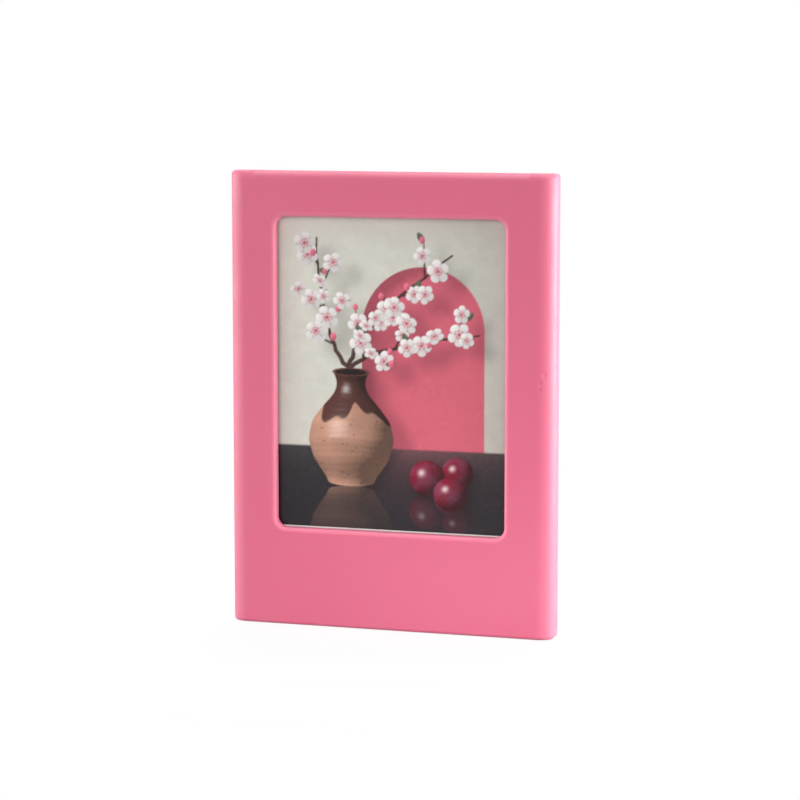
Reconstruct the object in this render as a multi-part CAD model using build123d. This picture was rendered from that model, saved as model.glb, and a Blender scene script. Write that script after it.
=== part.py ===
from build123d import *
import os

# Magnetic photo frame for one mini instant print. Millimetres.
# The origin is the centre of the flat rear face that the magnets pull against a steel surface.
# +X is to the viewer's right, +Y points out of the rear face, +Z is up.

# Instant print: sheet size, borders round the picture and the layers from front to back
print_width = 54.0
print_height = 86.0
print_side_border = 3.0
print_head_border = 6.6
print_foot_border = 16.7
print_corner_radius = 1.0
mask_thickness = 0.10
picture_thickness = 0.12
core_thickness = 0.16
back_thickness = 0.12
picture_overlap = 1.6
picture_corner_radius = 0.3
spacer_width = 2.2
pod_height = 11.0
pod_foot_gap = 2.0
trap_height = 3.0
trap_head_gap = 1.0

# Play of the print in its pocket
print_side_clearance = 0.4
print_face_clearance = 0.3

# Margins from the edges of the print to the outside of the frame
side_margin = 6.4
foot_margin = 3.3
head_margin = 1.7

# Walls of the front shell. Its front edges are full along the two sides and tight at the head and foot.
front_wall = 1.7
rim_wall = 1.8
side_edge_radius = 2.5
end_edge_radius = 0.8
rear_edge_radius = 0.4
rail_width = 1.4

# Window: how much of the picture's sides and head it hides, and how far it reaches below the picture
window_side_cover = 0.4
window_foot_reveal = 0.2
window_head_cover = 0.7
window_corner_radius = 2.0
window_lip_radius = 0.9

# Rear cover
cover_floor = 0.7
cover_gap = 0.15
cavity_corner_radius = 0.8
cover_edge_chamfer = 0.3
tongue_head_gap = 0.05
thumb_width = 16.0
thumb_height = 28.0
thumb_top_drop = 6.0
thumb_edge_chamfer = 0.6
pry_width = 8.0
pry_height = 1.0
pry_depth = 1.2

# Snap beads round the cover and the grooves that they click into
bead_radius = 0.5
bead_length = 12.0
bead_clearance = 0.15
side_bead_spacing = 44.0
foot_bead_spacing = 32.0

# Disc magnets and their glue
magnet_diameter = 10.0
magnet_thickness = 1.5
magnet_edge_chamfer = 0.2
magnet_recess = 0.1
magnet_radial_gap = 0.1
magnet_inset = 9.0
glue_thickness = 0.1
glue_inset = 0.4

# Depths, measured from the rear face at Y = 0 towards the viewer
print_thickness = mask_thickness + picture_thickness + core_thickness + back_thickness
slot_depth = print_thickness + 2 * print_face_clearance
cover_thickness = cover_floor + glue_thickness + magnet_thickness + magnet_recess
frame_depth = front_wall + slot_depth + cover_thickness
front_y = -frame_depth
wall_inner_y = front_y + front_wall
cover_front_y = -cover_thickness
mask_front_y = wall_inner_y + print_face_clearance
picture_front_y = mask_front_y + mask_thickness
core_front_y = picture_front_y + picture_thickness
back_front_y = core_front_y + core_thickness

# Outlines in the plane of the frame
frame_width = print_width + 2 * side_margin
frame_height = foot_margin + print_height + head_margin
frame_foot_z = -frame_height / 2
frame_head_z = frame_height / 2
print_foot_z = frame_foot_z + foot_margin
print_head_z = print_foot_z + print_height
picture_width = print_width - 2 * print_side_border
picture_foot_z = print_foot_z + print_foot_border
picture_head_z = print_head_z - print_head_border
window_width = picture_width - 2 * window_side_cover
window_foot_z = picture_foot_z - window_foot_reveal
window_head_z = picture_head_z - window_head_cover
cavity_width = frame_width - 2 * rim_wall
cavity_height = frame_height - 2 * rim_wall
slot_width = print_width + 2 * print_side_clearance
cover_width = cavity_width - 2 * cover_gap
cover_height = cavity_height - 2 * cover_gap
bead_y = cover_front_y / 2
magnet_x = cover_width / 2 - magnet_inset
magnet_z = cover_height / 2 - magnet_inset
pocket_floor_y = cover_front_y + cover_floor

# Length by which a cut runs past the faces that it opens
through = frame_depth


def plate(width, foot_z, head_z, front, rear, radius=0.0):
    """Flat plate in the plane of the frame, centred on X, with its four corners rounded."""
    block = Box(width, rear - front, head_z - foot_z)
    block = Pos(0, (front + rear) / 2, (foot_z + head_z) / 2) * block
    if radius > 0:
        block = fillet(block.edges().filter_by(Axis.Y), radius)
    return block


def strip(low_x, high_x, foot_z, head_z, front, rear):
    """Plain block between two X values."""
    return Pos((low_x + high_x) / 2, 0, 0) * plate(high_x - low_x, foot_z, head_z, front, rear)


def disc(radius, front, rear, x, z):
    """Round disc with its axis along Y."""
    return Pos(x, (front + rear) / 2, z) * Rot(X=90) * Cylinder(radius, rear - front)


def bead_places():
    """Middle of each snap bead on the cover's edge, with the axis that the bead runs along."""
    side_x = cover_width / 2
    foot_z = -cover_height / 2
    places = []
    for side in (-1, 1):
        for end in (-1, 1):
            places.append((side * side_x, end * side_bead_spacing / 2, "Z"))
        places.append((side * foot_bead_spacing / 2, foot_z, "X"))
    return places


def bead_rods(radius, length):
    """Round rods along the cover's edges: the beads, or with room to spare, the grooves for them."""
    rods = []
    for x, z, run in bead_places():
        turn = Rot(Y=90) if run == "X" else Rot()
        rods.append(Pos(x, bead_y, z) * turn * Cylinder(radius, length))
    return rods


def thumb_cutter():
    """Upright opening with round ends, through the cover."""
    radius = thumb_width / 2
    upper_z = -thumb_top_drop - radius
    lower_z = -thumb_top_drop - thumb_height + radius
    cutter = plate(thumb_width, lower_z, upper_z, -through, through)
    for z in (lower_z, upper_z):
        cutter += disc(radius, -through, through, 0, z)
    return cutter


def magnet_places():
    """Name and centre of each magnet."""
    return [
        ("upper_left", -magnet_x, magnet_z),
        ("upper_right", magnet_x, magnet_z),
        ("lower_left", -magnet_x, -magnet_z),
        ("lower_right", magnet_x, -magnet_z),
    ]


def make_front_shell():
    """Bezel with its rim, window, print rails, slot notch and snap grooves."""
    cavity_foot_z = -cavity_height / 2
    cavity_head_z = cavity_height / 2
    shell = plate(frame_width, frame_foot_z, frame_head_z, front_y, 0)
    shell = fillet(shell.edges().filter_by(Axis.Z).sort_by(Axis.Y)[:2], side_edge_radius)
    end_faces = shell.faces().sort_by(Axis.Z)
    end_edges = end_faces[0].edges().sort_by(Axis.Y)[:-1] + end_faces[-1].edges().sort_by(Axis.Y)[:-1]
    shell = fillet(end_edges, end_edge_radius)
    shell = fillet(shell.faces().sort_by(Axis.Y)[-1].edges(), rear_edge_radius)

    shell -= plate(cavity_width, cavity_foot_z, cavity_head_z, wall_inner_y, through, cavity_corner_radius)

    outside_y = front_y - through
    shell -= plate(window_width, window_foot_z, window_head_z, outside_y, through, window_corner_radius)
    front_face = shell.faces().sort_by(Axis.Y)[0]
    shell = fillet(front_face.inner_wires()[0].edges(), window_lip_radius)

    for side in (-1, 1):
        edge = side * slot_width / 2
        outside = edge + side * rail_width
        low_x, high_x = sorted((edge, outside))
        shell += strip(low_x, high_x, cavity_foot_z, cavity_head_z, wall_inner_y, cover_front_y)
    shell += plate(slot_width, cavity_foot_z, print_foot_z, wall_inner_y, cover_front_y)

    shell -= plate(slot_width, cavity_head_z, frame_head_z + through, wall_inner_y, through)

    for groove in bead_rods(bead_radius + bead_clearance, bead_length + 2 * bead_clearance):
        shell -= groove
    return shell


def make_rear_cover():
    """Back plate with snap beads, slot tongue, magnet pockets, thumb opening and pry notch."""
    half_height = cover_height / 2
    corner_radius = cavity_corner_radius - cover_gap
    cover = plate(cover_width, -half_height, half_height, cover_front_y, 0, corner_radius)
    tongue_width = slot_width - 2 * cover_gap
    cover += plate(tongue_width, 0, frame_head_z - tongue_head_gap, cover_front_y, 0)
    cover = chamfer(cover.faces().sort_by(Axis.Y)[-1].edges(), cover_edge_chamfer)

    cover -= thumb_cutter()
    rear_face = cover.faces().sort_by(Axis.Y)[-1]
    cover = chamfer(rear_face.inner_wires()[0].edges(), thumb_edge_chamfer)

    for _, x, z in magnet_places():
        cover -= disc(magnet_diameter / 2 + magnet_radial_gap, pocket_floor_y, through, x, z)

    pry_head_z = -half_height + pry_height
    cover -= plate(pry_width, -half_height - pry_height, pry_head_z, -pry_depth, through)

    for bead in bead_rods(bead_radius, bead_length):
        cover += bead
    return cover


def make_magnet(x, z):
    """Disc magnet with broken edges, set just below the rear face."""
    front = pocket_floor_y + glue_thickness
    magnet = disc(magnet_diameter / 2, front, front + magnet_thickness, x, z)
    return chamfer(magnet.edges().filter_by(GeomType.CIRCLE), magnet_edge_chamfer)


def make_magnet_glue(x, z):
    """Adhesive film between a magnet and the floor of its pocket."""
    return disc(magnet_diameter / 2 - glue_inset, pocket_floor_y, pocket_floor_y + glue_thickness, x, z)


def make_print_mask():
    """White border sheet on the front of the print."""
    sheet = plate(print_width, print_foot_z, print_head_z, mask_front_y, picture_front_y, print_corner_radius)
    opening = plate(
        picture_width, picture_foot_z, picture_head_z, mask_front_y - through, through, picture_corner_radius
    )
    return sheet - opening


def make_print_picture_sheet():
    """Glossy picture sheet behind the mask, a little larger than the mask's opening."""
    width = picture_width + 2 * picture_overlap
    foot_z = picture_foot_z - picture_overlap
    head_z = picture_head_z + picture_overlap
    return plate(width, foot_z, head_z, picture_front_y, core_front_y)


def make_print_spacer(side):
    """Strip that holds the picture sheet off the back sheet along one side."""
    outer_x = side * (picture_width / 2 + picture_overlap)
    inner_x = outer_x - side * spacer_width
    low_x, high_x = sorted((outer_x, inner_x))
    foot_z = picture_foot_z - picture_overlap
    head_z = picture_head_z + picture_overlap
    return strip(low_x, high_x, foot_z, head_z, core_front_y, back_front_y)


def make_print_developer_pod():
    """Flat emptied pod between the mask and the back sheet, in the foot border."""
    foot_z = print_foot_z + pod_foot_gap
    return plate(picture_width, foot_z, foot_z + pod_height, picture_front_y, back_front_y)


def make_print_developer_trap():
    """Strip between the mask and the back sheet, in the head border."""
    head_z = print_head_z - trap_head_gap
    return plate(picture_width, head_z - trap_height, head_z, picture_front_y, back_front_y)


def make_print_back_sheet():
    """Black sheet on the back of the print."""
    rear_y = back_front_y + back_thickness
    return plate(print_width, print_foot_z, print_head_z, back_front_y, rear_y, print_corner_radius)


def main():
    os.makedirs("parts", exist_ok=True)
    nodes = {
        "front_shell": make_front_shell(),
        "rear_cover": make_rear_cover(),
        "print_mask": make_print_mask(),
        "print_picture_sheet": make_print_picture_sheet(),
        "print_spacer_left": make_print_spacer(-1),
        "print_spacer_right": make_print_spacer(1),
        "print_developer_pod": make_print_developer_pod(),
        "print_developer_trap": make_print_developer_trap(),
        "print_back_sheet": make_print_back_sheet(),
    }
    for name, x, z in magnet_places():
        nodes["magnet_" + name] = make_magnet(x, z)
        nodes["magnet_glue_" + name] = make_magnet_glue(x, z)
    for name, solid in nodes.items():
        export_step(solid, os.path.join("parts", name + ".step"))
    print("frame", frame_width, frame_depth, frame_height)
    print("window", window_width, window_head_z - window_foot_z)


main()
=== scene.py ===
import math

import bmesh
import bpy
import numpy as np
from bpy.props import FloatProperty, FloatVectorProperty, IntProperty, PointerProperty
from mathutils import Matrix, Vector


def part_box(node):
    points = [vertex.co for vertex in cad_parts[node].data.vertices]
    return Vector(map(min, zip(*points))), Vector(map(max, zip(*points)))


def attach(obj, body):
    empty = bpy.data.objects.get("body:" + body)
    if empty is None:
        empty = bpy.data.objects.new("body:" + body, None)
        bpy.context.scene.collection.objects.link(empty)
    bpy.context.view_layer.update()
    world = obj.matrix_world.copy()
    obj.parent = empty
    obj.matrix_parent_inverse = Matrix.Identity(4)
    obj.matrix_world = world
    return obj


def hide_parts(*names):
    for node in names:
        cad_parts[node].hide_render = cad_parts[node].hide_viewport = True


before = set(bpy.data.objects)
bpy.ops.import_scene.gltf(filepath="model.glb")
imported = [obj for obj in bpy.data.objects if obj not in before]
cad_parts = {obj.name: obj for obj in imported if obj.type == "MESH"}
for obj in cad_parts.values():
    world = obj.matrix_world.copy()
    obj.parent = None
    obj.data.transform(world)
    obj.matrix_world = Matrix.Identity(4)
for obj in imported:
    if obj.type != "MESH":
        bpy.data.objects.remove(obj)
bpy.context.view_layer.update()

bl_info = {
    "name": "Magnetic Photo Frame",
    "version": (1, 0, 0),
    "blender": (4, 5, 0),
    "location": "View3D > Sidebar > Photo Frame",
    "description": "Dresses a moulded photo frame with disc magnets and one mini instant print",
    "category": "Object",
}

MM = 0.001
SENSOR_WIDTH = 36.0
WHITE = (1.0, 1.0, 1.0, 1.0)
# Steps round a corner, along a rounded edge and round a circle
CORNER_STEPS = 14
ROUND_STEPS = 10
CIRCLE_STEPS = 96

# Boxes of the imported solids. The rear face is the frame's own zero.
REAR = 0.0
SHELL_LOW, SHELL_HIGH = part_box("front_shell")
COVER_LOW, COVER_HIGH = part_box("rear_cover")
MASK_LOW, MASK_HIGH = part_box("print_mask")
SHEET_LOW, SHEET_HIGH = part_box("print_picture_sheet")
BACK_LOW, BACK_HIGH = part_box("print_back_sheet")
PLACES = ("upper_left", "upper_right", "lower_left", "lower_right")
MAGNETS = ["magnet_" + place for place in PLACES]
GLUES = ["magnet_glue_" + place for place in PLACES]
# Moulding dents near the right edge, in millimetres: place across and up, radius and depth
DENTS = ((30.8, 5.15, 0.6, 0.17), (30.8, 3.75, 0.55, 0.13), (31.65, 6.6, 0.7, 0.12))


def linear(red, green, blue):
    """Linear colour from sRGB values of 0 to 255."""
    values = np.array((red, green, blue)) / 255.0
    return np.where(values > 0.04045, ((values + 0.055) / 1.055) ** 2.4, values / 12.92)


def number(name, value, description, **kind):
    """Number property, with its unit, subtype or limits where it has them."""
    return FloatProperty(name=name, description=description, default=value, **kind)


def size(name, millimetres, description):
    """Length property that is written here in millimetres."""
    return number(name, millimetres * MM, description, unit="LENGTH", precision=5)


def bearing(name, degrees, description):
    """Angle property that is written here in degrees."""
    return number(name, math.radians(degrees), description, subtype="ANGLE")


def power(name, watts, description):
    """Power property of a lamp."""
    return number(name, watts, description, min=0.0, unit="POWER")


def colour(name, red, green, blue, description):
    """Colour property that is written here as sRGB values of 0 to 255."""
    return FloatVectorProperty(
        name=name,
        description=description,
        default=tuple(linear(red, green, blue)),
        min=0.0,
        max=1.0,
        size=3,
        subtype="COLOR",
    )


class ShellSizes(bpy.types.PropertyGroup):
    """Sizes of the moulded front shell."""

    side_edge: size("Side edge", 2.5, "Depth of the full rounding between the front face and the two sides")
    side_reach: size("Side reach", 3.4, "How far that rounding runs in from the sides across the face")
    head_edge: size("Head edge", 0.8, "Tight rounding at the head and of its corners")
    foot_edge: size("Foot edge", 0.75, "Tight rounding at the foot and of its corners")
    rear_edge: size("Rear edge", 0.4, "Rounding between the sides and the rear rim")
    front_wall: size("Front wall", 1.7, "Thickness of the wall round the window")
    rim_wall: size("Rim wall", 1.8, "Thickness of the rim round the back plate")
    cavity_radius: size("Cavity radius", 0.8, "Corner rounding of the recess for the back plate")
    edge_break: size("Edge break", 0.1, "Small break on moulded inner edges")
    window_width: size("Window width", 47.2, "Clear width of the window")
    window_foot: size("Window foot", -25.7, "Height of the window's lower edge above the frame's middle")
    window_head: size("Window head", 36.5, "Height of the window's upper edge above the frame's middle")
    window_radius: size("Window radius", 2.0, "Corner rounding of the window")
    window_lip: size("Window lip", 0.9, "Rounding of the window's front edge")
    slot_width: size("Slot width", 54.8, "Width of the slot in the head that the print goes through")
    mouth_width: size("Mouth width", 56.8, "Width of the rounded lead-in in front of the slot")
    mouth_drop: size("Mouth drop", 0.3, "Fall of the lead-in from the slot to the front edge")
    mouth_round: size("Mouth rounding", 0.8, "Rounding between the lead-in and the front face")
    rail_width: size("Rail width", 1.4, "Width of the two rails that guide the print")


class CoverSizes(bpy.types.PropertyGroup):
    """Sizes of the back plate and its snap beads."""

    gap: size("Gap", 0.15, "Play between the back plate and the rim")
    edge_round: size("Edge rounding", 0.3, "Rounding of the rear edges")
    front_break: size("Front break", 0.1, "Small break on the inner edges")
    tongue_width: size("Tongue width", 54.5, "Width of the tongue that closes the slot from behind")
    thumb_width: size("Thumb width", 16.0, "Width of the opening for a thumb")
    thumb_height: size("Thumb height", 28.0, "Height of the opening for a thumb")
    thumb_drop: size("Thumb drop", 6.0, "Top of the thumb opening below the frame's middle")
    thumb_edge: size("Thumb edge", 0.6, "Rounding of the thumb opening's rear edge")
    pry_width: size("Pry width", 8.0, "Width of the notch for prising the plate out")
    pry_height: size("Pry height", 1.0, "Height of the notch for prising the plate out")
    pry_depth: size("Pry depth", 1.2, "Depth of the notch for prising the plate out")
    pocket_gap: size("Pocket gap", 0.1, "Play round each magnet")
    bead_radius: size("Bead radius", 0.5, "Radius of the snap beads")
    bead_length: size("Bead length", 12.0, "Length of a snap bead")
    bead_play: size("Bead play", 0.15, "Room round a bead in its groove")
    side_spacing: size("Side bead spacing", 44.0, "Distance between the two beads on a side")
    foot_spacing: size("Foot bead spacing", 32.0, "Distance between the two beads on the foot edge")


class PrintSizes(bpy.types.PropertyGroup):
    """Sizes of the instant print and of the grid that its picture is painted on."""

    side_border: size("Side border", 3.0, "White border beside the picture")
    head_border: size("Head border", 6.6, "White border above the picture")
    foot_border: size("Foot border", 16.7, "White border below the picture")
    corner_radius: size("Corner radius", 1.0, "Corner rounding of the sheet")
    opening_radius: size("Opening radius", 0.3, "Corner rounding of the picture opening")
    seal_width: size("Seal width", 0.5, "Width of the sealed edge round the print")
    paper_edge: size("Paper edge", 0.03, "Rounding of the cut edges")
    picture_pitch: size("Picture pitch", 0.19, "Spacing of the painted points")
    seed: IntProperty(name="Seed", description="Seed of the painted picture", default=7, min=0)


class MagnetSizes(bpy.types.PropertyGroup):
    """Edges of the disc magnets and of their glue films."""

    magnet_edge: size("Magnet edge", 0.2, "Rounding of the plated edges")
    glue_edge: size("Glue edge", 0.04, "Rounding of the glue film's edge")


class Finishes(bpy.types.PropertyGroup):
    """Colours of the real materials, and a paler tone painted on the shell's edges as highlight."""

    plastic: colour("Plastic", 219, 106, 135, "Moulded shell and back plate")
    # Painted highlight: a paler tone laid over the plastic at the window lip, the head and the sides
    plastic_edge_highlight: colour("Plastic edges", 236, 136, 160, "Paler tone of the shell's rims and window lip")
    nickel: colour("Nickel", 206, 203, 196, "Plating of the magnets")
    glue: colour("Glue", 214, 208, 190, "Film under the magnets")
    paper: colour("Paper", 238, 236, 232, "White border of the print")
    foil: colour("Foil", 200, 200, 203, "Emptied developer pod")
    backing: colour("Backing", 30, 30, 32, "Back sheet of the print")


class PictureColours(bpy.types.PropertyGroup):
    """Colours of the still life in the print."""

    wall: colour("Wall", 213, 211, 200, "Plastered wall")
    niche: colour("Niche", 211, 100, 118, "Arched niche")
    table: colour("Table", 34, 30, 36, "Dark table")
    clay: colour("Clay", 196, 148, 126, "Bare clay of the vase")
    glaze: colour("Glaze", 84, 48, 42, "Glaze on the vase's neck")
    bark: colour("Bark", 58, 38, 34, "Branches")
    petal: colour("Petal", 248, 244, 242, "Blossom")
    blush: colour("Blush", 222, 112, 134, "Buds and hearts of the blossom")
    stamen: colour("Stamen", 150, 84, 44, "Stamens")
    leaf: colour("Leaf", 96, 98, 78, "Leaves")
    plum: colour("Plum", 128, 18, 46, "Skin of the plums")
    bloom: colour("Bloom", 150, 110, 140, "Dull bloom on the plums")


class StageSettings(bpy.types.PropertyGroup):
    """Floor, lamps and camera."""

    floor_size: size("Floor size", 6000.0, "Side of the floor")
    shadow_reach: size("Shadow reach", 140.0, "Distance at which the floor is plain white")
    floor_white: number("Floor white", 0.9, "Share of plain white in the floor near the frame")
    floor_grey: number("Floor grey", 0.9, "Tone of the floor under its white")
    bounce_grey: number("Bounce grey", 0.18, "Tone of the floor for the light that it throws back")
    lens: number("Lens", 121.95, "Focal length in millimetres")
    azimuth: bearing("Azimuth", 17.563, "Camera's turn round the frame, to the viewer's right")
    elevation: bearing("Elevation", 7.079, "Camera's tilt down at the frame")
    camera_place: FloatVectorProperty(
        name="Camera place",
        description="Where the camera stands",
        default=(0.16191, -0.50899, 0.06653),
        size=3,
        subtype="TRANSLATION",
        unit="LENGTH",
    )
    right_lamp: power("Right lamp", 4.2, "Softbox to the viewer's right")
    edge_lamp: power("Edge lamp", 3.0, "Softbox behind the frame's right side")
    side_lamp: power("Side lamp", 4.6, "Soft fill in line with the frame's right side")
    left_lamp: power("Left lamp", 3.4, "Softbox to the viewer's left")
    left_fill: power("Left fill", 3.2, "Soft fill to the viewer's left")
    top_lamp: power("Top lamp", 3.4, "Softbox overhead")
    rear_lamp: power("Rear lamp", 6.5, "Softbox behind the frame")
    front_lamp: power("Front lamp", 2.8, "Softbox behind the camera")
    low_lamp: power("Low lamp", 0.024, "Low strip in front of the frame")
    foot_lamp: power("Foot lamp", 0.005, "Small strip close to the frame's foot")
    ambient: number("Ambient", 0.15, "Strength of the light from all round", min=0.0)


# Meshes

def rounded_outline(half_width, foot, head, foot_radius, head_radius=None, foot_reach=None):
    """Rounded rectangle as points across and up, anticlockwise from its upper right corner.

    The corners at the foot may reach further across than up.
    """
    head_radius = head_radius or foot_radius
    foot_reach = foot_reach or foot_radius
    corners = (
        (half_width - head_radius, head - head_radius, head_radius, head_radius),
        (head_radius - half_width, head - head_radius, head_radius, head_radius),
        (foot_reach - half_width, foot + foot_radius, foot_reach, foot_radius),
        (half_width - foot_reach, foot + foot_radius, foot_reach, foot_radius),
    )
    points = []
    for quarter, (across, up, reach, radius) in enumerate(corners):
        for step in range(CORNER_STEPS + 1):
            angle = (quarter + step / CORNER_STEPS) * math.pi / 2
            points.append((across + reach * math.cos(angle), up + radius * math.sin(angle)))
    return points


def inset_outline(points, distance):
    """Outline moved inwards by a small distance, point by point."""
    corners = np.array(points)
    ahead = np.roll(corners, -1, axis=0) - corners
    ahead /= np.linalg.norm(ahead, axis=1)[:, None]
    inward = np.stack((-ahead[:, 1], ahead[:, 0]), axis=1)
    before = np.roll(inward, 1, axis=0)
    share = 1.0 + np.sum(inward * before, axis=1)
    return corners + distance * (inward + before) / share[:, None]


def at_depth(outline, depth):
    """Outline as points at one depth."""
    return [(x, depth, z) for x, z in outline]


def outline_loops(half_width, foot, head, radius, stations):
    """Loops of one rounded outline, each grown and set at the depth that its station gives."""
    loops = []
    for grow, depth in stations:
        outline = rounded_outline(half_width + grow, foot - grow, head + grow, radius + grow)
        loops.append(at_depth(outline, depth))
    return loops


def quarter_round(radius, steps=ROUND_STEPS):
    """Pairs of (distance from the side, distance from the face) along a rounded edge, from side to face."""
    pairs = []
    for step in range(steps + 1):
        angle = step / steps * math.pi / 2
        pairs.append((radius * (1 - math.cos(angle)), radius * (1 - math.sin(angle))))
    return pairs


def loft(loops, ring=False):
    """Closed form through loops of points, capped at its ends or joined into a ring."""
    form = bmesh.new()
    rows = [[form.verts.new(point) for point in loop] for loop in loops]
    pairs = list(zip(rows, rows[1:]))
    if ring:
        pairs.append((rows[-1], rows[0]))
    else:
        form.faces.new(rows[0])
        form.faces.new(rows[-1])
    for near, far in pairs:
        for index in range(len(near)):
            following = (index + 1) % len(near)
            form.faces.new((near[index], near[following], far[following], far[index]))
    bmesh.ops.recalc_face_normals(form, faces=form.faces)
    return form


def block(low, high):
    """Plain box between two corners."""
    outline = [(low[0], low[2]), (high[0], low[2]), (high[0], high[2]), (low[0], high[2])]
    return loft([at_depth(outline, low[1]), at_depth(outline, high[1])])


def circle(x, z, radius):
    """Circle as (x, z) points."""
    turns = [step / CIRCLE_STEPS * 2 * math.pi for step in range(CIRCLE_STEPS)]
    return [(x + radius * math.cos(turn), z + radius * math.sin(turn)) for turn in turns]


def rod(centre, axis, radius, length, taper):
    """Round bar along X or Z, with its ends drawn in by the taper."""
    half = length / 2
    slim = radius - taper
    stations = ((-half, slim), (taper - half, radius), (half - taper, radius), (half, slim))
    loops = []
    for along, wide in stations:
        loop = []
        for u, v in circle(0.0, 0.0, wide):
            offset = (along, u, v) if axis == "X" else (u, v, along)
            loop.append(Vector(centre) + Vector(offset))
        loops.append(loop)
    return loft(loops)


def mesh_object(name, forms):
    """One object in the scene that holds all the forms."""
    whole = bmesh.new()
    for form in forms:
        part = bpy.data.meshes.new("part")
        form.to_mesh(part)
        form.free()
        whole.from_mesh(part)
        bpy.data.meshes.remove(part)
    mesh = bpy.data.meshes.new(name)
    whole.to_mesh(mesh)
    whole.free()
    piece = bpy.data.objects.new(name, mesh)
    bpy.context.scene.collection.objects.link(piece)
    return piece


def apply_modifiers(piece):
    """Turns the modified shape into the piece's own mesh."""
    depsgraph = bpy.context.evaluated_depsgraph_get()
    mesh = bpy.data.meshes.new_from_object(piece.evaluated_get(depsgraph))
    if not mesh.polygons:
        raise RuntimeError(piece.name + " has no faces left")
    old = piece.data
    piece.modifiers.clear()
    piece.data = mesh
    bpy.data.meshes.remove(old)
    mesh.name = piece.name


def combine(piece, forms, operation):
    """Adds forms to the piece or cuts them out of it."""
    tool = mesh_object("tool", forms)
    modifier = piece.modifiers.new("combine", "BOOLEAN")
    modifier.operation = operation
    modifier.solver = "EXACT"
    modifier.object = tool
    apply_modifiers(piece)
    mesh = tool.data
    bpy.data.objects.remove(tool)
    bpy.data.meshes.remove(mesh)


def smooth(piece, degrees=32.0):
    """Smooth shading with crisp creases and flat faces that stay flat."""
    piece.data.shade_smooth()
    piece.data.set_sharp_from_angle(angle=math.radians(degrees))
    modifier = piece.modifiers.new("flat faces", "WEIGHTED_NORMAL")
    modifier.keep_sharp = True
    modifier.weight = 100
    apply_modifiers(piece)


def dress(piece, material, body, slot, *nodes):
    """Gives a piece its material and ties it to the frame."""
    piece.data.materials.clear()
    piece.data.materials.append(material)
    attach(piece, body)
    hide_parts(*nodes)


# Node trees

def add_node(tree, kind, inputs=None, **settings):
    """New node with its settings made and its inputs linked or set."""
    node = tree.nodes.new(kind)
    for name, value in settings.items():
        setattr(node, name, value)
    for name, value in (inputs or {}).items():
        if isinstance(value, bpy.types.NodeSocket):
            tree.links.new(value, node.inputs[name])
        else:
            node.inputs[name].default_value = value
    return node


def maths(tree, operation, first, second=0.0):
    """Result of a Math node."""
    return add_node(tree, "ShaderNodeMath", {0: first, 1: second}, operation=operation).outputs[0]


def start_material(name):
    """New material: itself, its tree, its shader and its object coordinates."""
    material = bpy.data.materials.new(name)
    material.use_nodes = True
    tree = material.node_tree
    shader = tree.nodes["Principled BSDF"]
    place = add_node(tree, "ShaderNodeTexCoord").outputs["Object"]
    return material, tree, shader, place


def noise(tree, place, scale, detail=2.0, roughness=0.5):
    """Noise of 0 to 1 at so many features a metre."""
    inputs = {"Vector": place, "Scale": scale, "Detail": detail, "Roughness": roughness}
    return add_node(tree, "ShaderNodeTexNoise", inputs).outputs["Fac"]


def stretched(tree, place, scale):
    """Coordinates scaled by axis, for grain that runs one way."""
    return add_node(tree, "ShaderNodeMapping", {"Vector": place, "Scale": scale}).outputs["Vector"]


def span(tree, value, low, high, start=0.3, end=0.7):
    """Value from start to end spread from low to high."""
    inputs = {"Value": value, "From Min": start, "From Max": end, "To Min": low, "To Max": high}
    return add_node(tree, "ShaderNodeMapRange", inputs).outputs["Result"]


def mixed(tree, factor, first, second):
    """Blend of two colours."""
    inputs = {0: factor, 6: first, 7: second}
    return add_node(tree, "ShaderNodeMix", inputs, data_type="RGBA").outputs[2]


def toned(tone, factor):
    """Opaque colour, lighter or darker by a factor."""
    return tuple(min(channel * factor, 1.0) for channel in tone) + (1.0,)


def grey(level):
    """Opaque grey."""
    return (level, level, level, 1.0)


def tinted(tree, shader, factor, tone, first, second):
    """Base colour that runs between two levels of one tone."""
    tree.links.new(mixed(tree, factor, toned(tone, first), toned(tone, second)), shader.inputs["Base Color"])


def roughened(tree, shader, value, low, high):
    """Roughness that follows a value."""
    tree.links.new(span(tree, value, low, high), shader.inputs["Roughness"])


def bumped(tree, shader, *layers):
    """Chains (height, depth in millimetres) pairs into the shader's normal."""
    normal = None
    for height, depth in layers:
        inputs = {"Height": height, "Distance": depth * MM, "Strength": 1.0}
        if normal is not None:
            inputs["Normal"] = normal
        normal = add_node(tree, "ShaderNodeBump", inputs).outputs["Normal"]
    tree.links.new(normal, shader.inputs["Normal"])


def satin_plastic(name, tone, wear):
    """Moulded satin plastic: soft colour flow, fine tool grain and rubbed spots."""
    material, tree, shader, place = start_material(name)
    flow = noise(tree, stretched(tree, place, (1.0, 1.0, 0.4)), 60.0)
    tinted(tree, shader, flow, tone, 0.98, 1.02)
    roughened(tree, shader, noise(tree, place, 130.0, 3.0), 0.45 - wear, 0.50)
    shader.inputs["IOR"].default_value = 1.55
    shader.inputs["Subsurface Weight"].default_value = 0.5
    shader.inputs["Subsurface Radius"].default_value = (1.0, 0.3, 0.4)
    shader.inputs["Subsurface Scale"].default_value = 0.3 * MM
    bumped(tree, shader, (noise(tree, place, 90.0, 1.0), 0.02), (noise(tree, place, 4200.0), 0.0025))
    return material


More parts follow.
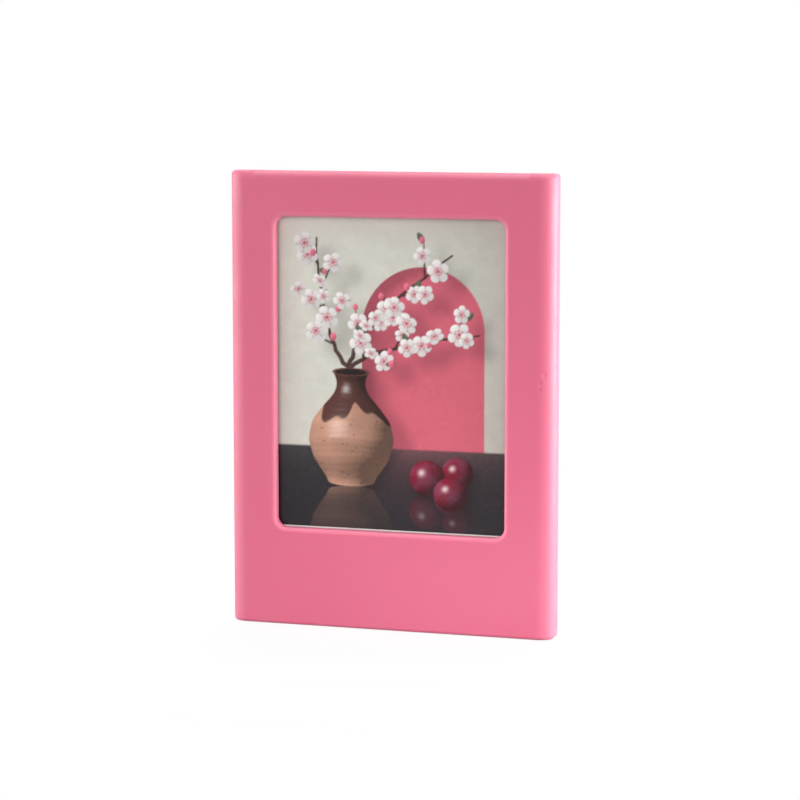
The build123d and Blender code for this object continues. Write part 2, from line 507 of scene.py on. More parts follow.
def painted_edge_highlights(material, shell, tone):
    """Painted highlight: a paler base colour at the window's lip, the head and the two sides, where light
    catches the rounding.
    """
    tree = material.node_tree
    place = [node for node in tree.nodes if node.type == "TEX_COORD"][0].outputs["Object"]
    across, depth, up = add_node(tree, "ShaderNodeSeparateXYZ", {0: place}).outputs
    beside = maths(tree, "ABSOLUTE", across)
    middle = (shell.window_head + shell.window_foot) / 2
    above = maths(tree, "ABSOLUTE", maths(tree, "SUBTRACT", up, middle))
    radius = shell.window_radius
    straight_x = shell.window_width / 2 - radius
    straight_z = (shell.window_head - shell.window_foot) / 2 - radius
    gap_x = maths(tree, "MAXIMUM", maths(tree, "SUBTRACT", beside, straight_x))
    gap_z = maths(tree, "MAXIMUM", maths(tree, "SUBTRACT", above, straight_z))
    corner = add_node(tree, "ShaderNodeCombineXYZ", {0: gap_x, 1: gap_z}).outputs[0]
    reach = add_node(tree, "ShaderNodeVectorMath", {0: corner}, operation="LENGTH").outputs["Value"]
    # How much painted highlight the lip, the sides and the head each get
    lip_highlight, side_highlight, head_highlight = 0.8, 0.4, 0.6
    lip = span(tree, reach, lip_highlight, 0.0, radius + shell.window_lip / 3, radius + 1.2 * shell.window_lip)
    inner = SHELL_LOW.y + shell.front_wall
    lip = maths(tree, "MULTIPLY", lip, span(tree, depth, 1.0, 0.0, inner - 0.7 * MM, inner))
    side = span(tree, beside, 0.0, side_highlight, SHELL_HIGH.x - shell.side_reach, SHELL_HIGH.x)
    head_highlight_start = SHELL_HIGH.z - 2 * shell.mouth_round
    head = span(tree, up, 0.0, head_highlight, head_highlight_start, SHELL_HIGH.z - shell.mouth_drop)
    # The strongest of the three painted highlights sets how much of the paler tone is laid on
    share = maths(tree, "MAXIMUM", lip, maths(tree, "MAXIMUM", side, head))
    base = tree.nodes["Principled BSDF"].inputs["Base Color"]
    tree.links.new(mixed(tree, share, base.links[0].from_socket, toned(tone, 1.0)), base)


def plated_nickel(name, tone):
    """Bright plating with fine polishing lines and a few dull spots."""
    material, tree, shader, place = start_material(name)
    spots = noise(tree, place, 700.0, 4.0, 0.6)
    tinted(tree, shader, spots, tone, 0.90, 1.04)
    lines = noise(tree, stretched(tree, place, (14.0, 1.0, 1.0)), 900.0, 3.0)
    roughened(tree, shader, lines, 0.14, 0.26)
    shader.inputs["Metallic"].default_value = 1.0
    bumped(tree, shader, (lines, 0.0006))
    return material


def glue_film(name, tone):
    """Milky film with small trapped bubbles."""
    material, tree, shader, place = start_material(name)
    cells = add_node(tree, "ShaderNodeTexVoronoi", {"Vector": place, "Scale": 1500.0}).outputs["Distance"]
    bubbles = span(tree, cells, 1.0, 0.0, 0.12, 0.25)
    tinted(tree, shader, bubbles, tone, 1.0, 0.75)
    roughened(tree, shader, noise(tree, place, 800.0), 0.35, 0.55)
    bumped(tree, shader, (bubbles, 0.008))
    return material


def print_paper(name, tone):
    """Smooth coated paper with faint fibres."""
    material, tree, shader, place = start_material(name)
    fibres = noise(tree, stretched(tree, place, (1.0, 1.0, 3.0)), 2600.0, 4.0, 0.6)
    tinted(tree, shader, fibres, tone, 0.965, 1.02)
    roughened(tree, shader, fibres, 0.42, 0.54)
    bumped(tree, shader, (fibres, 0.003), (noise(tree, place, 160.0), 0.01))
    return material


def crinkled_foil(name, tone):
    """Flattened foil with folds, its tone painted darker along the fold lines as crease shade."""
    material, tree, shader, place = start_material(name)
    inputs = {"Vector": place, "Scale": 420.0}
    folds_and_crease_shade = add_node(tree, "ShaderNodeTexVoronoi", inputs, feature="DISTANCE_TO_EDGE").outputs["Distance"]
    # Painted shade: the tone darkens along the fold lines
    tinted(tree, shader, folds_and_crease_shade, tone, 0.85, 1.05)
    roughened(tree, shader, noise(tree, place, 900.0), 0.25, 0.45)
    shader.inputs["Metallic"].default_value = 1.0
    bumped(tree, shader, (folds_and_crease_shade, 0.04))
    return material


def black_backing(name, tone):
    """Matt black film with a fine woven emboss and faint rub marks."""
    material, tree, shader, place = start_material(name)
    rubs = noise(tree, stretched(tree, place, (1.0, 1.0, 0.15)), 900.0, 4.0, 0.6)
    tinted(tree, shader, rubs, tone, 0.8, 1.5)
    roughened(tree, shader, rubs, 0.42, 0.60)
    weave = noise(tree, place, 3200.0, 1.0)
    bumped(tree, shader, (weave, 0.004))
    return material


def glossy_picture(name):
    """Glossy picture layer that shows the painted colours."""
    material, tree, shader, place = start_material(name)
    painted = add_node(tree, "ShaderNodeVertexColor", layer_name="picture").outputs["Color"]
    tree.links.new(painted, shader.inputs["Base Color"])
    roughened(tree, shader, noise(tree, place, 220.0), 0.20, 0.30)
    shader.inputs["Specular IOR Level"].default_value = 0.22
    bumped(tree, shader, (noise(tree, place, 70.0, 1.0), 0.01))
    return material


# Shell and back plate

def cover_outer(cover):
    """Half width and foot height of the back plate without its beads."""
    shell = bpy.context.scene.photo_frame_shell
    half_width = SHELL_HIGH.x - shell.rim_wall - cover.gap
    foot = SHELL_LOW.z + shell.rim_wall + cover.gap
    return half_width, foot


def bead_places(cover):
    """Middle of each snap bead with the axis that it runs along."""
    half_width, foot = cover_outer(cover)
    depth = COVER_LOW.y / 2
    places = []
    for side in (-1, 1):
        for end in (-1, 1):
            places.append(((side * half_width, depth, end * cover.side_spacing / 2), "Z"))
        places.append(((side * cover.foot_spacing / 2, depth, foot), "X"))
    return places


def shell_block(shell):
    """Outside of the shell: one section from foot to head, full at the sides and tight at the ends."""
    foot_rounds = reversed(quarter_round(shell.foot_edge))
    head_rounds = quarter_round(shell.head_edge)
    stations = [(SHELL_LOW.z + below, inset, below) for inset, below in foot_rounds]
    stations += [(SHELL_HIGH.z - below, inset, below) for inset, below in head_rounds]
    loops = []
    for height, inset, below in stations:
        short = max(shell.rear_edge - below, 0.0)
        rear_inset = shell.rear_edge - math.sqrt(shell.rear_edge**2 - short**2)
        section = rounded_outline(
            SHELL_HIGH.x - inset,
            SHELL_LOW.y + inset,
            REAR - rear_inset,
            shell.side_edge - inset,
            shell.rear_edge - 0.8 * rear_inset,
            shell.side_reach - inset,
        )
        loops.append([(x, y, height) for x, y in section])
    return loft(loops)


def cavity_cutter(shell):
    """Recess for the print and the back plate, with a broken rear edge."""
    stations = (
        (SHELL_LOW.y + shell.front_wall, shell.rim_wall),
        (REAR - shell.edge_break, shell.rim_wall),
        (REAR + shell.edge_break, shell.rim_wall - 2 * shell.edge_break),
    )
    loops = []
    for depth, inset in stations:
        outline = rounded_outline(
            SHELL_HIGH.x - inset, SHELL_LOW.z + inset, SHELL_HIGH.z - inset, shell.cavity_radius
        )
        loops.append(at_depth(outline, depth))
    return loft(loops)


def window_cutter(shell):
    """Window with its rounded front lip and a broken inner edge."""
    front = SHELL_LOW.y
    inner = front + shell.front_wall
    stations = [(shell.window_lip, front - shell.front_wall)]
    stations += [(outset, front + behind) for outset, behind in reversed(quarter_round(shell.window_lip))]
    stations += [(0.0, inner - shell.edge_break), (2 * shell.edge_break, inner + shell.edge_break)]
    half_width, foot, head = shell.window_width / 2, shell.window_foot, shell.window_head
    return loft(outline_loops(half_width, foot, head, shell.window_radius, stations))


def slot_cutter(shell):
    """Notch in the head wall with a broken mouth."""
    half = shell.slot_width / 2
    front = SHELL_LOW.y + shell.front_wall
    rear = REAR + shell.rim_wall
    foot = SHELL_HIGH.z - shell.rim_wall - shell.edge_break
    stations = (
        (foot, 0.0),
        (SHELL_HIGH.z - shell.edge_break, 0.0),
        (SHELL_HIGH.z + shell.edge_break, 2 * shell.edge_break),
    )
    loops = []
    for height, flare in stations:
        low_x, high_x = -half - flare, half + flare
        corners = ((low_x, front - flare), (high_x, front - flare), (high_x, rear), (low_x, rear))
        loops.append([(x, y, height) for x, y in corners])
    return loft(loops)


def mouth_cutter(shell):
    """What the rounded lead-in takes off the head edge in front of the slot."""
    half = shell.mouth_width / 2
    front, head, spare = SHELL_LOW.y, SHELL_HIGH.z, shell.front_wall
    lower = head - shell.mouth_drop
    rounds = quarter_round(shell.mouth_round)
    profile = [(front + inset, lower - below) for inset, below in rounds]
    profile += [(front + shell.front_wall, head), (front + shell.front_wall, head + spare)]
    profile += [(front - spare, head + spare), (front - spare, lower - shell.mouth_round)]
    return loft([[(x, y, z) for y, z in profile] for x in (-half, half)])


def dimple(shell, across, up, radius, depth):
    """Shallow moulding dent to cut out: the cap of a large ball, on the face or its rounded side."""
    ball = (radius**2 + depth**2) / (2 * depth)
    lean = math.asin(max(1.0 - (SHELL_HIGH.x - across) / shell.side_reach, 0.0))
    normal = Vector((math.sin(lean) / shell.side_reach, -math.cos(lean) / shell.side_edge, 0.0)).normalized()
    surface = Vector((across, SHELL_LOW.y + shell.side_edge * (1.0 - math.cos(lean)), up))
    turn = normal.to_track_quat("Z", "Y")
    rings_clear = 2
    loops = []
    for step in range(ROUND_STEPS + rings_clear, 0, -1):
        angle = step / ROUND_STEPS * math.asin(radius / ball)
        rise = ball * (1.0 - math.cos(angle)) - depth
        ring = circle(0.0, 0.0, ball * math.sin(angle))
        loops.append([surface + turn @ Vector((u, v, rise)) for u, v in ring])
    return loft(loops)


def build_front_shell():
    """Bezel, rim, print rails, foot ledge, slot and snap grooves in one moulding."""
    shell = bpy.context.scene.photo_frame_shell
    cover = bpy.context.scene.photo_frame_cover
    piece = mesh_object("front_shell_moulding", [shell_block(shell)])
    combine(piece, [cavity_cutter(shell)], "DIFFERENCE")
    combine(piece, [window_cutter(shell)], "DIFFERENCE")
    combine(piece, [mouth_cutter(shell)], "DIFFERENCE")

    sunk = shell.rim_wall / 4
    slot_half = shell.slot_width / 2
    wall_inner = SHELL_LOW.y + shell.front_wall
    cavity_foot = SHELL_LOW.z + shell.rim_wall
    cavity_head = SHELL_HIGH.z - shell.rim_wall
    rails = []
    for side in (-1, 1):
        low_x, high_x = sorted((side * slot_half, side * (slot_half + shell.rail_width)))
        low = (low_x, wall_inner - sunk, cavity_foot - sunk)
        rails.append(block(low, (high_x, COVER_LOW.y, cavity_head + sunk)))
    combine(piece, rails, "UNION")
    low = (-slot_half - sunk, wall_inner - sunk, cavity_foot - sunk)
    combine(piece, [block(low, (slot_half + sunk, COVER_LOW.y, MASK_LOW.z))], "UNION")

    radius = cover.bead_radius + cover.bead_play
    length = cover.bead_length + 2 * cover.bead_play
    cutters = [rod(centre, axis, radius, length, cover.bead_play) for centre, axis in bead_places(cover)]
    cutters.append(slot_cutter(shell))
    combine(piece, cutters, "DIFFERENCE")
    for dent in DENTS:
        combine(piece, [dimple(shell, *[length * MM for length in dent])], "DIFFERENCE")
    smooth(piece)
    finishes = bpy.context.scene.photo_frame_finishes
    plastic = satin_plastic("pink satin plastic", finishes.plastic, 0.03)
    # Paler tone painted on the shell's edges as highlight
    painted_edge_highlights(plastic, shell, finishes.plastic_edge_highlight)
    dress(piece, plastic, "frame", "pink_plastic", "front_shell")


def cover_outline(cover):
    """Outline of the back plate with the tongue on its head edge."""
    shell = bpy.context.scene.photo_frame_shell
    half_width, foot = cover_outer(cover)
    plain = rounded_outline(half_width, foot, -foot, shell.cavity_radius - cover.gap)
    tongue_half = cover.tongue_width / 2
    tongue = rounded_outline(tongue_half, foot, COVER_HIGH.z, cover.edge_round)
    corner = CORNER_STEPS + 1
    step_right = [(tongue_half, -foot)]
    step_left = [(-tongue_half, -foot)]
    return plain[:corner] + step_right + tongue[: 2 * corner] + step_left + plain[corner:]


def stadium(width, low, high, grow):
    """Upright opening with round ends, as (x, z) points."""
    radius = width / 2 + grow
    points = []
    for turn, z in ((0.0, high - width / 2), (math.pi, low + width / 2)):
        for step in range(CIRCLE_STEPS // 2 + 1):
            angle = turn + step / (CIRCLE_STEPS // 2) * math.pi
            points.append((radius * math.cos(angle), z + radius * math.sin(angle)))
    return points


def thumb_cutter(cover, past):
    """Opening for a thumb, with a rounded rear edge."""
    high = -cover.thumb_drop
    low = high - cover.thumb_height
    stations = [(0.0, COVER_LOW.y - past)]
    stations += [(grow, REAR - behind) for grow, behind in quarter_round(cover.thumb_edge, steps=6)]
    stations.append((cover.thumb_edge, REAR + past))
    return loft([at_depth(stadium(cover.thumb_width, low, high, grow), depth) for grow, depth in stations])


def pocket_cutter(magnet, film, gap, edge_break):
    """Round pocket for a magnet and its glue film, with a broken rear edge."""
    low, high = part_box(magnet)
    middle = (low + high) / 2
    radius = (high.x - low.x) / 2 + gap
    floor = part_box(film)[0].y
    stations = ((floor, radius), (REAR - edge_break, radius), (REAR + edge_break, radius + 2 * edge_break))
    return loft([at_depth(circle(middle.x, middle.z, wide), depth) for depth, wide in stations])


def build_rear_cover():
    """Back plate with beads, tongue, magnet pockets, thumb opening and pry notch."""
    shell = bpy.context.scene.photo_frame_shell
    cover = bpy.context.scene.photo_frame_cover
    outline = cover_outline(cover)
    front = COVER_LOW.y
    loops = [at_depth(inset_outline(outline, cover.front_break), front)]
    loops.append(at_depth(outline, front + cover.front_break))
    for inset, behind in quarter_round(cover.edge_round, steps=4):
        loops.append(at_depth(inset_outline(outline, inset), REAR - behind))
    piece = mesh_object("rear_cover_plate", [loft(loops)])

    taper = cover.bead_radius / 2
    places = bead_places(cover)
    beads = [rod(centre, axis, cover.bead_radius, cover.bead_length, taper) for centre, axis in places]
    combine(piece, beads, "UNION")

    past = shell.rim_wall
    cutters = [thumb_cutter(cover, past)]
    for magnet, film in zip(MAGNETS, GLUES):
        cutters.append(pocket_cutter(magnet, film, cover.pocket_gap, shell.edge_break))
    foot = cover_outer(cover)[1]
    half = cover.pry_width / 2
    low = (-half, REAR - cover.pry_depth, foot - past)
    cutters.append(block(low, (half, REAR + past, foot + cover.pry_height)))
    combine(piece, cutters, "DIFFERENCE")
    smooth(piece)
    plastic = satin_plastic("pink back plastic", bpy.context.scene.photo_frame_finishes.plastic, 0.06)
    dress(piece, plastic, "frame", "pink_plastic", "rear_cover")


# Magnets and glue

def disc_tree():
    """Geometry nodes that set four discs with rounded edges at the corners of a rectangle."""
    tree = bpy.data.node_groups.new("four discs", "GeometryNodeTree")
    tree.interface.new_socket("Geometry", in_out="OUTPUT", socket_type="NodeSocketGeometry")
    for name in ("Spacing X", "Spacing Z", "Depth", "Diameter", "Thickness", "Edge Radius"):
        tree.interface.new_socket(name, in_out="INPUT", socket_type="NodeSocketFloat")
    tree.interface.new_socket("Material", in_out="INPUT", socket_type="NodeSocketMaterial")
    given = add_node(tree, "NodeGroupInput").outputs

    side_rows = 11
    radius = maths(tree, "DIVIDE", given["Diameter"], 2.0)
    half = maths(tree, "DIVIDE", given["Thickness"], 2.0)
    inputs = {
        "Vertices": CIRCLE_STEPS,
        "Side Segments": side_rows,
        "Fill Segments": 1,
        "Radius": radius,
        "Depth": given["Thickness"],
    }
    cylinder = add_node(tree, "GeometryNodeMeshCylinder", inputs, fill_type="NGON")

    position = add_node(tree, "GeometryNodeInputPosition").outputs["Position"]
    axes = add_node(tree, "ShaderNodeSeparateXYZ", {"Vector": position}).outputs
    level = maths(tree, "ABSOLUTE", maths(tree, "DIVIDE", axes["Z"], half))
    straight = 1.0 / side_rows
    share = maths(tree, "DIVIDE", maths(tree, "SUBTRACT", level, straight), 1.0 - straight)
    turn = maths(tree, "MULTIPLY", maths(tree, "MAXIMUM", share, 0.0), math.pi / 2)
    edge = given["Edge Radius"]
    reach = maths(tree, "MULTIPLY", edge, maths(tree, "SUBTRACT", 1.0, maths(tree, "COSINE", turn)))
    shrink = maths(tree, "DIVIDE", maths(tree, "SUBTRACT", radius, reach), radius)
    drop = maths(tree, "MULTIPLY", edge, maths(tree, "SUBTRACT", 1.0, maths(tree, "SINE", turn)))
    height = maths(tree, "MULTIPLY", maths(tree, "SIGN", axes["Z"]), maths(tree, "SUBTRACT", half, drop))
    place = add_node(tree, "ShaderNodeCombineXYZ", {
        "X": maths(tree, "MULTIPLY", axes["X"], shrink),
        "Y": maths(tree, "MULTIPLY", axes["Y"], shrink),
        "Z": height,
    }).outputs["Vector"]
    inputs = {"Geometry": cylinder.outputs["Mesh"], "Position": place}
    disc = add_node(tree, "GeometryNodeSetPosition", inputs)

    upright = (math.pi / 2, 0.0, 0.0)
    grid = add_node(tree, "GeometryNodeMeshGrid", {
        "Size X": given["Spacing X"], "Size Y": given["Spacing Z"], "Vertices X": 2, "Vertices Y": 2,
    })
    shift = add_node(tree, "ShaderNodeCombineXYZ", {"Y": given["Depth"]}).outputs["Vector"]
    corners = add_node(tree, "GeometryNodeTransform", {
        "Geometry": grid.outputs["Mesh"], "Translation": shift, "Rotation": upright,
    })
    instances = add_node(tree, "GeometryNodeInstanceOnPoints", {
        "Points": corners.outputs["Geometry"], "Instance": disc.outputs["Geometry"], "Rotation": upright,
    })
    real = add_node(tree, "GeometryNodeRealizeInstances", {"Geometry": instances.outputs["Instances"]})
    done = add_node(tree, "GeometryNodeSetMaterial", {
        "Geometry": real.outputs["Geometry"], "Material": given["Material"],
    })
    add_node(tree, "NodeGroupOutput", {"Geometry": done.outputs["Geometry"]})
    return tree


def build_discs(name, nodes, edge_radius, material, slot):
    """Four discs where the solids of the nodes are."""
    boxes = [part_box(node) for node in nodes]
    low = Vector(map(min, *[box[0] for box in boxes]))
    high = Vector(map(max, *[box[1] for box in boxes]))
    diameter = boxes[0][1].x - boxes[0][0].x
    tree = bpy.data.node_groups.get("four discs") or disc_tree()
    piece = mesh_object(name, [])
    modifier = piece.modifiers.new("discs", "NODES")
    modifier.node_group = tree
    values = {
        "Spacing X": high.x - low.x - diameter,
        "Spacing Z": high.z - low.z - diameter,
        "Depth": (low.y + high.y) / 2,
        "Diameter": diameter,
        "Thickness": high.y - low.y,
        "Edge Radius": edge_radius,
        "Material": material,
    }
    for socket in tree.interface.items_tree:
        if socket.in_out == "INPUT":
            modifier[socket.identifier] = values[socket.name]
    apply_modifiers(piece)
    smooth(piece)
    dress(piece, material, "frame", slot, *nodes)


def build_magnets():
    """Nickel-plated discs and the glue films under them."""
    sizes = bpy.context.scene.photo_frame_magnets
    finishes = bpy.context.scene.photo_frame_finishes
    nickel = plated_nickel("bright nickel", finishes.nickel)
    build_discs("disc_magnets", MAGNETS, sizes.magnet_edge, nickel, "magnet_nickel")
    film = glue_film("glue film", finishes.glue)
    build_discs("magnet_glue_films", GLUES, sizes.glue_edge, film, "glue_film")


# Instant print

def build_print_border():
    """White border sheet with its picture opening and an edge sealed down to the back sheet."""
    sizes = bpy.context.scene.photo_frame_print
    front, behind, backing = MASK_LOW.y, MASK_HIGH.y, BACK_LOW.y
    edge, seal = sizes.paper_edge, sizes.seal_width
    outside = ((-edge, front), (0.0, front + edge), (0.0, backing), (-seal, backing), (-seal, behind))
    loops = outline_loops(MASK_HIGH.x, MASK_LOW.z, MASK_HIGH.z, sizes.corner_radius, outside)
    half_width = MASK_HIGH.x - sizes.side_border
    foot = MASK_LOW.z + sizes.foot_border
    head = MASK_HIGH.z - sizes.head_border
    opening = ((0.0, behind), (0.0, front + edge), (edge, front))
    loops += outline_loops(half_width, foot, head, sizes.opening_radius, opening)
    piece = mesh_object("print_border", [loft(loops, ring=True)])
    smooth(piece)
    paper = print_paper("print paper", bpy.context.scene.photo_frame_finishes.paper)
    dress(piece, paper, "print", "print_white", "print_mask")


def build_print_back():
    """Black back sheet."""
    sizes = bpy.context.scene.photo_frame_print
    edge = sizes.paper_edge
    front, rear = BACK_LOW.y, BACK_HIGH.y
    stations = ((-edge, front), (0.0, front + edge), (0.0, rear - edge), (-edge, rear))
    loops = outline_loops(BACK_HIGH.x, BACK_LOW.z, BACK_HIGH.z, sizes.corner_radius, stations)
    piece = mesh_object("print_backing", [loft(loops)])
    smooth(piece)
    backing = black_backing("black backing", bpy.context.scene.photo_frame_finishes.backing)
    dress(piece, backing, "print", "print_black", "print_back_sheet")


def set_material(node, material):
    """Puts a material into every slot of a CAD node."""
    for slot in node.material_slots:
        slot.material = material


def finish_print_inside():
    """Materials of the strips and the pod between the print's sheets, which keep their CAD shapes."""
    finishes = bpy.context.scene.photo_frame_finishes
    paper = print_paper("print inner paper", finishes.paper)
    foil = crinkled_foil("pod foil", finishes.foil)
    for node in ("print_spacer_left", "print_spacer_right", "print_developer_trap"):
        set_material(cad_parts[node], paper)
    set_material(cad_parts["print_developer_pod"], foil)


def grid_sheet(name, low, high, pitch):
    """Closed thin sheet whose front is a fine grid. Returns the piece and the grid's columns and rows."""
    columns = np.linspace(low.x, high.x, round((high.x - low.x) / pitch) + 1)
    rows = np.linspace(low.z, high.z, round((high.z - low.z) / pitch) + 1)
    wide, tall = len(columns), len(rows)
    x, z = np.meshgrid(columns, rows)
    front = np.stack((x, np.full(x.shape, low.y), z), axis=-1).reshape(-1, 3)
    rear = [(x, high.y, z) for z in (low.z, high.z) for x in (low.x, high.x)]
    index = np.arange(wide * tall).reshape(tall, wide)
    quads = np.stack((index[:-1, :-1], index[:-1, 1:], index[1:, 1:], index[1:, :-1]), axis=-1).reshape(-1, 4)
    first = wide * tall
    lower_left, lower_right, upper_left, upper_right = range(first, first + 4)
    faces = quads.tolist()
    faces.append([lower_left, lower_right] + index[0, ::-1].tolist())
    faces.append([upper_right, upper_left] + index[-1].tolist())
    faces.append([upper_left, lower_left] + index[:, 0].tolist())
    faces.append([lower_right, upper_right] + index[::-1, -1].tolist())
    faces.append([lower_right, lower_left, upper_left, upper_right])
    mesh = bpy.data.meshes.new(name)
    mesh.from_pydata(front.tolist() + rear, [], faces)
    mesh.validate()
    piece = bpy.data.objects.new(name, mesh)
    bpy.context.scene.collection.objects.link(piece)
    return piece, columns, rows


def lip_shade(columns, rows):
    """Dark line on the picture where it runs under the window's lip at the head and the sides."""
    shell = bpy.context.scene.photo_frame_shell
    line, line_width = 0.18, 0.38 * MM
    shade, shade_width = 0.10, 2.0 * MM
    x, z = np.meshgrid(columns, rows)
    gap = np.maximum(np.minimum(shell.window_width / 2 - np.abs(x), shell.window_head - z), 0.0)
    return 1.0 - line * np.exp(-((gap / line_width) ** 2)) - shade * np.exp(-gap / shade_width)


def build_print_picture():
    """Picture sheet with a still life painted into its points."""
    sizes = bpy.context.scene.photo_frame_print
    piece, columns, rows = grid_sheet("print_picture", SHEET_LOW, SHEET_HIGH, sizes.picture_pitch)
    middle = (rows[0] + rows[-1]) / 2
    painted = paint_picture(columns / MM, (rows - middle) / MM, sizes.seed)
    painted = painted * lip_shade(columns, rows)[..., None]
    values = np.ones((len(piece.data.vertices), 4), np.float32)
    values[: painted.shape[0] * painted.shape[1], :3] = painted.reshape(-1, 3)
    layer = piece.data.color_attributes.new("picture", "FLOAT_COLOR", "POINT")
    layer.data.foreach_set("color", values.ravel())
    dress(piece, glossy_picture("glossy picture"), "print", "picture_gloss", "print_picture_sheet")


# Painting, in millimetres from the middle of the picture

PICTURE_LIGHT = np.array((-0.58, 0.62, 0.53))
PICTURE_VIEW = np.array((0.0, 1.0, 0.0))
TABLE_LINE = -15.0
VASE_X = -8.4
VASE_FOOT = -22.0
VASE_HEIGHT = 22.0
PLUMS = ((13.6, -19.4, 3.3), (7.4, -20.6, 3.7), (12.2, -23.6, 3.5))


class Layer:
    """Grid of premultiplied colours with their cover."""

    def __init__(self, columns, rows):
        self.x, self.z = np.meshgrid(columns, rows)
        self.pitch = columns[1] - columns[0]
        self.colour = np.zeros(self.x.shape + (3,))
        self.cover = np.zeros(self.x.shape)

    def paint(self, tone, cover, window=...):
        """Lays a tone over the window by its cover."""
        kept = 1.0 - cover
        self.colour[window] = self.colour[window] * kept[..., None] + tone * cover[..., None]
        self.cover[window] = self.cover[window] * kept + cover

    def shade(self, light):
        """Darkens or lightens what is painted so far."""
        self.colour *= light[..., None]

    def lay(self, upper):
        """Puts another layer on top."""
        self.colour = self.colour * (1.0 - upper.cover[..., None]) + upper.colour
        self.cover = self.cover * (1.0 - upper.cover) + upper.cover

    def shadow(self, cover, right, down, blur):
        """Shadow that a cover casts to its lower right, in millimetres."""
        cells = 1.0 / self.pitch
        return blurred(moved(cover, round(right * cells), round(down * cells)), blur * cells)

    def window(self, x, z, reach):
        """Rows and columns within reach of a point."""
        columns = np.flatnonzero(np.abs(self.x[0] - x) < reach)
        rows = np.flatnonzero(np.abs(self.z[:, 0] - z) < reach)
        return slice(rows[0], rows[-1] + 1), slice(columns[0], columns[-1] + 1)


def blurred(field, cells):
    """Gaussian blur, with the reach in grid cells."""
    reach = math.ceil(3 * cells)
    offsets = np.arange(-reach, reach + 1)
    weights = np.exp(-0.5 * (offsets / cells) ** 2)
    weights /= weights.sum()
    for axis in (0, 1):
        pads = [(0, 0), (0, 0)]
        pads[axis] = (reach, reach)
        padded = np.pad(field, pads, mode="edge")
        count = field.shape[axis]
        field = sum(weight * padded.take(range(k, k + count), axis) for k, weight in enumerate(weights))
    return field


def clouds(random, shape, cells):
    """Smooth noise with a mean of 0 and a spread of 1."""
    field = blurred(random.standard_normal(shape), cells)
    return (field - field.mean()) / field.std()


def moved(field, right, down):
    """Field moved by whole cells, for a cast shadow."""
    return np.roll(field, (-down, right), axis=(0, 1))


def inside(distance, edge=0.2):
    """Cover of a shape from the distance to its outline, negative inside."""
    return np.clip(0.5 - distance / edge, 0.0, 1.0)


def stroke_distance(x, z, points, widths):
    """Distance to the outline of a tapering line through the points."""
    nearest = np.full(x.shape, np.inf)
    for index in range(len(points) - 1):
        start = points[index]
        run = points[index + 1] - start
        share = np.clip(((x - start[0]) * run[0] + (z - start[1]) * run[1]) / (run @ run), 0.0, 1.0)
        gap = np.hypot(x - start[0] - share * run[0], z - start[1] - share * run[1])
        width = widths[index] + (widths[index + 1] - widths[index]) * share
        nearest = np.minimum(nearest, gap - width)
    return nearest


def bent_line(start, middle, end, count):
    """Points on a quadratic curve."""
    t = np.linspace(0.0, 1.0, count)[:, None]
    return (1 - t) ** 2 * np.array(start) + 2 * t * (1 - t) * np.array(middle) + t**2 * np.array(end)


def lit(tone, normal, gloss, tightness, ambient=0.22):
    """Tone of a rounded form under the picture's lamp. The normal's Y axis points at the viewer."""
    halfway = PICTURE_LIGHT + PICTURE_VIEW
    halfway = halfway / np.linalg.norm(halfway)
    direct = np.clip(sum(n * toward for n, toward in zip(normal, PICTURE_LIGHT)), 0.0, None)
    shine = np.clip(sum(n * toward for n, toward in zip(normal, halfway)), 0.0, None) ** tightness
    return tone * (ambient + 0.95 * direct)[..., None] + gloss * shine[..., None]


def paint_backdrop(layer, random, tones):
    """Plastered wall with an arched niche, and a dark table in front of it. Returns the table's cover."""
    niche_x = 6.5
    niche_half = 12.6
    spring_z = 8.5
    x, z = layer.x, layer.z
    plaster = clouds(random, x.shape, 3.0) * 0.012 + clouds(random, x.shape, 26.0) * 0.02
    daylight = 1.0 - 0.006 * (x + 10.0) + 0.003 * z
    layer.paint(tones["wall"], np.ones(x.shape))
    layer.shade(daylight + plaster)

    niche = inside(np.hypot(x - niche_x, np.maximum(z - spring_z, 0.0)) - niche_half)
    layer.paint(tones["niche"] * (1.0 + plaster[..., None]), niche)
    lit_niche = layer.shadow(niche, 2.6, 1.3, 0.8)
    layer.shade(1.0 - 0.42 * niche * (1.0 - lit_niche))
    layer.shade(1.0 + 0.10 * niche * (1.0 - moved(niche, -1, 0)))

    table = inside(z - TABLE_LINE, 0.35)
    sheen = np.exp(-np.maximum(TABLE_LINE - z, 0.0) / 4.5)
    glow = np.exp(-(((x - niche_x) / niche_half) ** 2))
    tint = tones["niche"] * (0.16 * sheen * glow)[..., None] + tones["wall"] * (0.05 * sheen)[..., None]
    layer.paint(tones["table"] + tint, table)
    layer.shade(1.0 + 0.05 * clouds(random, x.shape, 1.0) * table)
    return table


